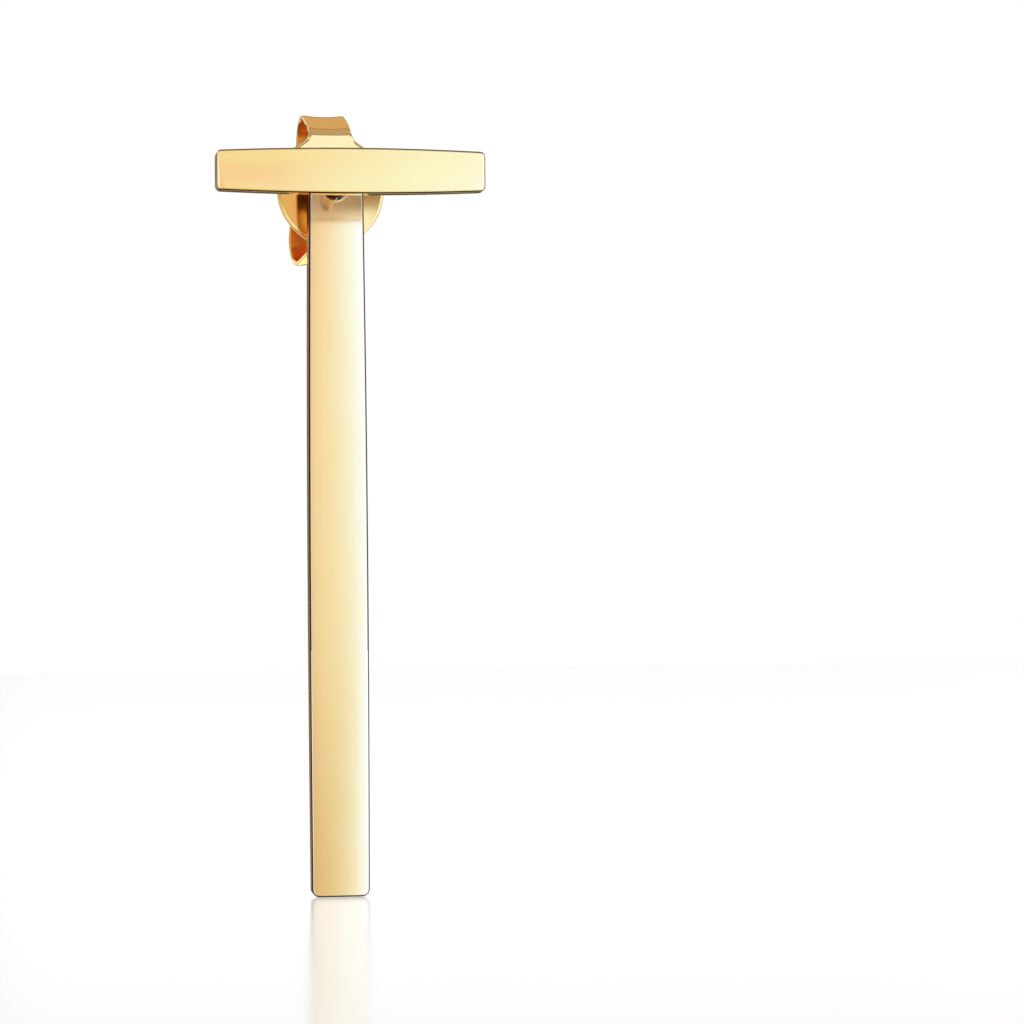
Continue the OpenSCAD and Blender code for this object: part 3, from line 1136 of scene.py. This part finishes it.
PANELS = [
    # colour, azimuth counted from, azimuth from, to, soft, elevation from, to, soft
    ((1.05, 1.40, 1.9), "front", -35, -21, 2.5, -45, 40, 6),
    ((0.80, 1.02, 1.10), "front", -66, -36, 2.5, -45, 40, 6),
    ((0.45, 0.52, 0.50), "front", -98, -68, 4, -45, 40, 6),
    ((0.12, 0.08, 0.05), "front", -60, 75, 8, -90, -43, 5),
    ((0.30, 0.23, 0.15), "back", 75, 160, 6, -50, 20, 6),
    ((0.62, 1.50, 2.50), "back", 98, 116, 3, 13, 28, 3),
    ((1.3, 1.3, 1.3), "back", 161, 181, 1.5, 3.5, 12, 1),
    ((0.13, 0.09, 0.055), "back", 165, 181, 2, -14, -2, 1),
    ((0.26, 0.19, 0.12), "back", 183, 188, 1, -12, 14, 2),
    ((0.93, 1.15, 1.50), "back", 195, 222, 2.5, -32, 42, 4),
    ((0.45, 0.45, 0.42), "back", 82, 134, 6, 30, 66, 4),
    ((1.55, 2.0, 2.05), "back", 110, 195, 6, -60, -20, 4),
    ((0.66, 0.61, 0.54), "back", 140, 190, 5, 26, 60, 6),
    ((0.45, 0.42, 0.36), "back", 196, 300, 6, 20, 60, 4),
]
OVERHEAD = (0.52, 0.52, 0.50)
OVERHEAD_FROM, OVERHEAD_BACK_FROM = 34, 64
OVERHEAD_SOFT = 4
FRONT_SOFT = 0.05
BASE_LIGHT = (0.01, 0.01, 0.01)


def add_panel(total, colour, around, left, right_end, soft, low, high, soft_up):
    """Adds one soft edged panel to the light of the room."""
    shape = sky_math("MULTIPLY", window(around, left, right_end, soft),
                     window(elevation, low, high, soft_up))
    return add_light(total, colour, shape)


def add_light(total, colour, shape):
    """Adds a colour where shape is 1."""
    return sky_node("ShaderNodeVectorMath", shape, colour, total,
                    operation="MULTIPLY_ADD").outputs[0]


full_turn = sky_math("FLOORED_MODULO", azimuth, 360.0)
around_from = {"front": azimuth, "back": full_turn}

# %% The tones of the front panel
# Their borders lean a little, so that they shift sideways with height
height = sky_math("MINIMUM", sky_math("MAXIMUM", elevation, LEAN_FROM), LEAN_TO)
leaning = sky_math("MULTIPLY", sky_math("SUBTRACT", height, LEAN_LEVEL), LEAN)
leaning_azimuth = sky_math("ADD", azimuth, leaning)
tones = sky.nodes.new("ShaderNodeValToRGB")
first, last = FRONT_TONES[0][0], FRONT_TONES[-1][0]
ramp_place = sky_node("ShaderNodeMapRange", leaning_azimuth, first, last).outputs[0]
sky.links.new(ramp_place, tones.inputs[0])
while len(tones.color_ramp.elements) < len(FRONT_TONES):
    tones.color_ramp.elements.new(0.5)
for element, (place, colour) in zip(tones.color_ramp.elements, FRONT_TONES):
    element.position = (place - first) / (last - first)
    element.color = (*colour, 1)


def tinted(colour, tint, untinted):
    """Multiplies a colour by a tint, but leaves it as it is where untinted is 1."""
    mix = sky_node("ShaderNodeMix", untinted, data_type="RGBA")
    for socket, end in zip(sockets_of("RGBA", mix.inputs), (tint, (1, 1, 1))):
        socket.default_value = (*end, 1)
    return sky_node("ShaderNodeVectorMath", colour, sockets_of("RGBA", mix.outputs)[0],
                    operation="MULTIPLY").outputs[0]


dimmed = tinted(
    tones.outputs["Color"], LOW_TONE,
    sky_math("MAXIMUM", step_between(elevation, LOW_FROM, LOW_TO),
             step_between(azimuth, LOW_ENDS_FROM, LOW_ENDS_TO)),
)
under_peach = sky_math("SUBTRACT", 1.0, step_between(elevation, PEACH_FROM, PEACH_TO))
over_peach = step_between(elevation, PEACH_HIGH_FROM, PEACH_HIGH_TO)
front_light = tinted(
    dimmed, PEACH_TONE,
    sky_math("MAXIMUM", sky_math("MAXIMUM", under_peach, over_peach),
             step_between(azimuth, PEACH_ENDS_FROM, PEACH_ENDS_TO)),
)

# %% The light of the whole room
light_sum = add_panel(BASE_LIGHT, front_light, azimuth, *FRONT_WINDOW)
for colour, start, *place in PANELS:
    light_sum = add_panel(light_sum, colour, around_from[start], *place)

# The ceiling reaches over the earring from the front panel to the back
is_front = step_between(to_front, -FRONT_SOFT, FRONT_SOFT)


def ceiling_part(share, start):
    """A share of the ceiling, which starts at an elevation."""
    return sky_math("MULTIPLY", share,
                    step_between(elevation, start - OVERHEAD_SOFT, start + OVERHEAD_SOFT))


ceiling = sky_math(
    "ADD", ceiling_part(is_front, OVERHEAD_FROM),
    ceiling_part(sky_math("SUBTRACT", 1.0, is_front), OVERHEAD_BACK_FROM),
)
light_sum = add_light(light_sum, OVERHEAD, ceiling)

seen = sky_node("ShaderNodeLightPath").outputs["Is Camera Ray"]
backdrop = sky_node("ShaderNodeBackground", (1, 1, 1, 1), 1.0)
room = sky_node("ShaderNodeBackground", light_sum, 1.0)
both = sky_node("ShaderNodeMixShader", seen, room.outputs[0], backdrop.outputs[0])
world_out = sky.nodes.new("ShaderNodeOutputWorld")
sky.links.new(both.outputs[0], world_out.inputs["Surface"])

# %% [markdown]
# ## Floor
# The drop almost touches a glossy white table, which mirrors its end faintly. The floor is a
# broad plate just under it. In the photograph's view it melts into the backdrop, and from other
# sides it takes a tint from the panels.

# %% Floor
FLOOR_Z = -27.52
FLOOR_HALF_WIDTH = 0.3
FLOOR_NEAR = -0.2
FLOOR_FAR = 0.2

bm = bmesh.new()
corners = [(-FLOOR_HALF_WIDTH, FLOOR_NEAR), (FLOOR_HALF_WIDTH, FLOOR_NEAR),
           (FLOOR_HALF_WIDTH, FLOOR_FAR), (-FLOOR_HALF_WIDTH, FLOOR_FAR)]
bm.faces.new([bm.verts.new((x, y, FLOOR_Z * MM)) for x, y in corners])
floor = object_from(bm, "floor")
floor_white = bpy.data.materials.new("floor_white")
floor_white.use_nodes = True
floor_shader = floor_white.node_tree.nodes["Principled BSDF"]
floor_shader.inputs["Base Color"].default_value = (0.2, 0.19, 0.17, 1)
floor_shader.inputs["Roughness"].default_value = 0.2
floor_shader.inputs["Emission Color"].default_value = (1, 1, 1, 1)
floor_shader.inputs["Emission Strength"].default_value = 0.49
floor.data.materials.append(floor_white)
floor.visible_glossy = False

# %% Lamp over the table
LAMP_SIZE = 0.25
LAMP_HEIGHT = 0.25

lamp_data = bpy.data.lights.new("table_lamp", "AREA")
lamp_data.shape = "RECTANGLE"
lamp_data.size = LAMP_SIZE
lamp_data.size_y = LAMP_SIZE
lamp_data.energy = 0.2
table_lamp = bpy.data.objects.new("table_lamp", lamp_data)
table_lamp.location = (0, 0, LAMP_HEIGHT)
table_lamp.visible_glossy = False
bpy.context.scene.collection.objects.link(table_lamp)

# %% [markdown]
# ## The picture's settings
# The panels were matched to the photograph's own pixel values, so colours are shown as they
# are, without a film curve. Light may bounce ten times, because gold mirrors gold inside the
# scrolls.

# %% Colour and bounces
bpy.context.scene.view_settings.view_transform = "Standard"
bpy.context.scene.cycles.max_bounces = 10
bpy.context.scene.cycles.glossy_bounces = 10
